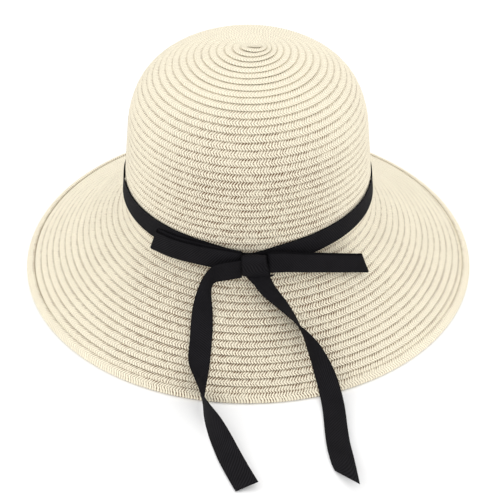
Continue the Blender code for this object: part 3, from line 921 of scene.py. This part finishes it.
def make_knot():
    """The ribbon wrapped round the middle of the bow, gathered towards its right side."""
    centre = (KNOT_LOW + KNOT_HIGH) / 2 - Vector((0.0, 0.0, KNOT_SQUEEZE))
    half = (KNOT_HIGH - KNOT_LOW) / 2 - Vector((0.0, 0.0, KNOT_SQUEEZE))
    turn = np.linspace(0.0, math.tau, KNOT_STEPS + 1)
    deep = np.sign(np.cos(turn)) * np.abs(np.cos(turn)) ** KNOT_SQUARE
    tall = np.sign(np.sin(turn)) * np.abs(np.sin(turn)) ** KNOT_SQUARE
    lines = []
    for share in np.linspace(-1.0, 1.0, KNOT_FOLDS):
        tuck = abs(share) ** KNOT_TUCK
        pinch = math.exp(-(((share - KNOT_PINCH[0]) / KNOT_PINCH[1]) ** 2))
        fold = KNOT_FOLD * math.sin(KNOT_FOLD_WAVE[0] * share + KNOT_FOLD_WAVE[1])
        fold *= KNOT_FOLD_GROW[0] + KNOT_FOLD_GROW[1] * share
        depth = half.y * (1.0 - KNOT_SHALLOW[0] * tuck - KNOT_SHALLOW[1] * pinch) + fold
        height = half.z * (1.0 - KNOT_SHORT[0] * tuck - KNOT_SHORT[1] * pinch)
        lines.append(np.stack((
            centre.x + share * (half.x + KNOT_OVER) + KNOT_SLANT * max(0.0, share) * tall,
            centre.y - deep * depth,
            centre.z + tall * height,
        ), axis=-1))
    ribbon_piece("bow_knot_wrap", np.stack(lines, axis=1), "ribbon", "bow_knot",
                 closed=True)


# ---------------------------------------------------------------- lining


def make_sweatband():
    """The woven tape against the head, a little wavy along its free top edge."""
    lining = bpy.context.scene.hat_lining
    angle = np.linspace(0.0, math.tau, ROUND_STEPS + 1)
    lines = []
    for row in range(TAPE_ROWS + 1):
        share = row / TAPE_ROWS
        wave = TAPE_WAVE * share * np.sin(9 * angle) * np.sin(2 * angle + 0.5)
        radius, height = on_hat(HAT_LINE - lining.wide * share, TAPE_INSIDE - wave)
        lines.append(np.stack((np.cos(angle) * radius, np.sin(angle) * radius, height), axis=-1))
    across = [lining.wide * row / TAPE_ROWS for row in range(TAPE_ROWS + 1)]
    points = np.stack(lines)
    length = run_length(points)
    bm = bent_grid(points, length, across, closed_along=True)
    band = finish_piece("sweatband_tape", bm, tape_material(), "hat", "sweatband")
    thicken(band, lining.tape)


def make_stitches():
    """A round of small stitches that hold the sweatband near its lower edge."""
    lining = bpy.context.scene.hat_lining
    radius, height = on_hat(HAT_LINE - STITCHES_UP, STITCHES_INSIDE)
    bm = bmesh.new()
    for index in range(lining.stitches):
        angle = math.tau * index / lining.stitches
        made = bmesh.ops.create_uvsphere(bm, u_segments=6, v_segments=4, radius=1.0)
        bmesh.ops.scale(bm, verts=made["verts"], vec=STITCH_SIZE)
        for vert in made["verts"]:
            x, y = vert.co.x + float(radius), vert.co.y
            vert.co = Vector((
                x * math.cos(angle) - y * math.sin(angle),
                x * math.sin(angle) + y * math.cos(angle),
                vert.co.z + float(height),
            ))
    bm.loops.layers.uv.new("UVMap")
    finish_piece("sweatband_stitches", bm, tape_material(), "hat", "sweatband")


def make_label():
    """A blank tab, folded at its free edge and sewn to the sweatband at the back."""
    low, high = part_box("size_label")
    half = (high.x - low.x) / 2
    outer = high.y - LABEL_CLOTH
    tall = high.z - low.z
    lines = []
    for depth, rise, _ in LABEL_ROUTE:
        line = []
        for step in range(LABEL_STEPS + 1):
            angle = (step / LABEL_STEPS - 0.5) * 2 * math.asin(half / outer)
            radius = outer - depth * MM
            line.append((radius * math.sin(angle), radius * math.cos(angle), low.z + rise * tall))
        lines.append(line)
    bm = bent_grid(np.array(lines), 2 * half, [tall * run for _, _, run in LABEL_ROUTE])
    tab = finish_piece("size_label_tab", bm, label_material(), "hat", "size_label")
    thicken(tab, LABEL_CLOTH)


# ---------------------------------------------------------------- stage


def plain_material(name, colour, roughness):
    material = bpy.data.materials.new(name)
    material.use_nodes = True
    tree = material.node_tree
    shader = tree.nodes["Principled BSDF"]
    place = add(tree, "ShaderNodeTexCoord")
    cloud = noise(tree, place.outputs["Object"], FLOOR_CLOUD)
    pale = [value * FLOOR_DIM for value in colour[:3]] + [1.0]
    tree.links.new(mix(tree, cloud, pale, tuple(colour)), shader.inputs["Base Color"])
    shader.inputs["Roughness"].default_value = roughness
    shader.inputs["Specular IOR Level"].default_value = 0.1
    return material


def make_floor():
    stage = bpy.context.scene.hat_stage
    bm = bmesh.new()
    bmesh.ops.create_grid(bm, x_segments=1, y_segments=1, size=FLOOR_HALF)
    bmesh.ops.translate(bm, verts=bm.verts, vec=(0.0, 0.0, TABLE))
    mesh = bpy.data.meshes.new("floor")
    bm.to_mesh(mesh)
    bm.free()
    mesh.materials.append(plain_material("pale_floor", stage.floor, FLOOR_ROUGH))
    floor = bpy.data.objects.new("floor", mesh)
    bpy.context.scene.collection.objects.link(floor)


def add_softbox(name, place, size, watts):
    light = bpy.data.lights.new(name, "AREA")
    light.shape = "DISK"
    light.size = size
    light.energy = watts
    lamp = bpy.data.objects.new(name, light)
    bpy.context.scene.collection.objects.link(lamp)
    lamp.location = place
    lamp.rotation_euler = (Vector(LIGHT_AIM) - Vector(place)).to_track_quat("-Z", "Y").to_euler()


def make_camera():
    stage = bpy.context.scene.hat_stage
    target = Vector(CAMERA_AIM)
    back = Vector((0.0, -math.cos(stage.elevation), math.sin(stage.elevation)))
    data = bpy.data.cameras.new("camera")
    data.lens = stage.lens
    data.sensor_width = SENSOR
    camera = bpy.data.objects.new("camera", data)
    bpy.context.scene.collection.objects.link(camera)
    camera.location = target + back * stage.distance
    camera.rotation_euler = (-back).to_track_quat("-Z", "Y").to_euler()
    bpy.context.scene.camera = camera


def make_world():
    world = bpy.data.worlds.new("studio")
    world.use_nodes = True
    sky = world.node_tree.nodes["Background"]
    sky.inputs["Color"].default_value = (1.0, 1.0, 1.0, 1.0)
    sky.inputs["Strength"].default_value = STUDIO_LIGHT
    bpy.context.scene.world = world
    bpy.context.scene.view_settings.view_transform = "Standard"


# ---------------------------------------------------------------- operators


class HAT_OT_crown(bpy.types.Operator):
    """Sew the crown: the braid's spiral from the middle of the top down to the hat line"""

    bl_idname = "hat.crown"
    bl_label = "Crown"

    def execute(self, context):
        flat = straw_material("sewn_straw", LAP_SHADOW_REACH)
        # A copy of the straw whose painted lap shadow reaches further up each row on the upright
        # wall.
        upright = straw_material("sewn_straw_upright", LAP_SHADOW_REACH_UPRIGHT)
        make_braid("crown_braid_top", 0.0, CROWN_SPLIT, "crown", flat)
        make_braid("crown_braid_side", CROWN_SPLIT, HAT_LINE, "crown", upright)
        return {"FINISHED"}


class HAT_OT_brim(bpy.types.Operator):
    """Sew the brim: the same spiral carried on to the rim"""

    bl_idname = "hat.brim"
    bl_label = "Brim"

    def execute(self, context):
        straw = context.scene.hat_straw
        flat = straw_material("sewn_straw", LAP_SHADOW_REACH)
        make_braid("brim_braid_inner", HAT_LINE, BRIM_SPLIT, "brim", flat)
        make_braid("brim_braid_outer", BRIM_SPLIT, ROWS_END + straw.row, "brim", flat)
        make_rim("brim_edge_braid")
        return {"FINISHED"}


class HAT_OT_lining(bpy.types.Operator):
    """Put in the sweatband, its stitches and the blank size label"""

    bl_idname = "hat.lining"
    bl_label = "Sweatband and Label"

    def execute(self, context):
        make_sweatband()
        make_stitches()
        make_label()
        return {"FINISHED"}


class HAT_OT_band(bpy.types.Operator):
    """Tie the ribbon round the crown"""

    bl_idname = "hat.band"
    bl_label = "Ribbon Band"

    def execute(self, context):
        make_band()
        return {"FINISHED"}


class HAT_OT_bow(bpy.types.Operator):
    """Tie the bow: the knot and its two loops"""

    bl_idname = "hat.bow"
    bl_label = "Bow"

    def execute(self, context):
        make_knot()
        make_loop("bow_loop_left_cloth", LOOP_LEFT, "loop_left", "bow_loop_left",
                  drop=LOOP_LEFT_DROP, slant=LOOP_LEFT_SLANT)
        make_loop("bow_loop_right_cloth", LOOP_RIGHT, "loop_right", "bow_loop_right",
                  drop=0.0, slant=LOOP_RIGHT_SLANT)
        return {"FINISHED"}


class HAT_OT_tails(bpy.types.Operator):
    """Lay the two ribbon tails over the brim"""

    bl_idname = "hat.tails"
    bl_label = "Ribbon Tails"

    def execute(self, context):
        make_tail("tail_left_cloth", TAIL_LEFT, TAIL_LEFT_CUT, "tail_left", "tail_left")
        make_tail("tail_right_cloth", TAIL_RIGHT, TAIL_RIGHT_CUT, "tail_right", "tail_right")
        return {"FINISHED"}


class HAT_OT_stage(bpy.types.Operator):
    """Set the pale floor, the soft lights and the camera"""

    bl_idname = "hat.stage"
    bl_label = "Stage"

    def execute(self, context):
        make_floor()
        make_world()
        for name, place, size, watts in SOFTBOXES:
            add_softbox(name, place, size, watts)
        make_camera()
        return {"FINISHED"}


class HAT_PT_panel(bpy.types.Panel):
    bl_label = "Sun Hat"
    bl_idname = "HAT_PT_panel"
    bl_space_type = "VIEW_3D"
    bl_region_type = "UI"
    bl_category = "Sun Hat"

    def draw(self, context):
        layout = self.layout
        for title, settings, operators in (
            ("Straw", context.scene.hat_straw, ("hat.crown", "hat.brim")),
            ("Lining", context.scene.hat_lining, ("hat.lining",)),
            ("Ribbon", context.scene.hat_ribbon, ("hat.band", "hat.bow", "hat.tails")),
            ("Stage", context.scene.hat_stage, ("hat.stage",)),
        ):
            box = layout.box()
            box.label(text=title)
            for key in settings.__annotations__:
                box.prop(settings, key)
            for operator in operators:
                box.operator(operator)


SETTINGS = {
    "hat_straw": StrawSettings,
    "hat_ribbon": RibbonSettings,
    "hat_lining": LiningSettings,
    "hat_stage": StageSettings,
}
OPERATORS = (
    HAT_OT_crown, HAT_OT_brim, HAT_OT_lining, HAT_OT_band, HAT_OT_bow, HAT_OT_tails, HAT_OT_stage,
)


def register():
    for key, kind in SETTINGS.items():
        bpy.utils.register_class(kind)
        setattr(bpy.types.Scene, key, bpy.props.PointerProperty(type=kind))
    for kind in (*OPERATORS, HAT_PT_panel):
        bpy.utils.register_class(kind)


def unregister():
    for kind in (HAT_PT_panel, *reversed(OPERATORS)):
        bpy.utils.unregister_class(kind)
    for key, kind in reversed(list(SETTINGS.items())):
        delattr(bpy.types.Scene, key)
        bpy.utils.unregister_class(kind)


def main():
    register()
    bpy.ops.hat.crown()
    bpy.ops.hat.brim()
    bpy.ops.hat.lining()
    bpy.ops.hat.band()
    bpy.ops.hat.bow()
    bpy.ops.hat.tails()
    bpy.ops.hat.stage()


if __name__ == "__main__":
    main()
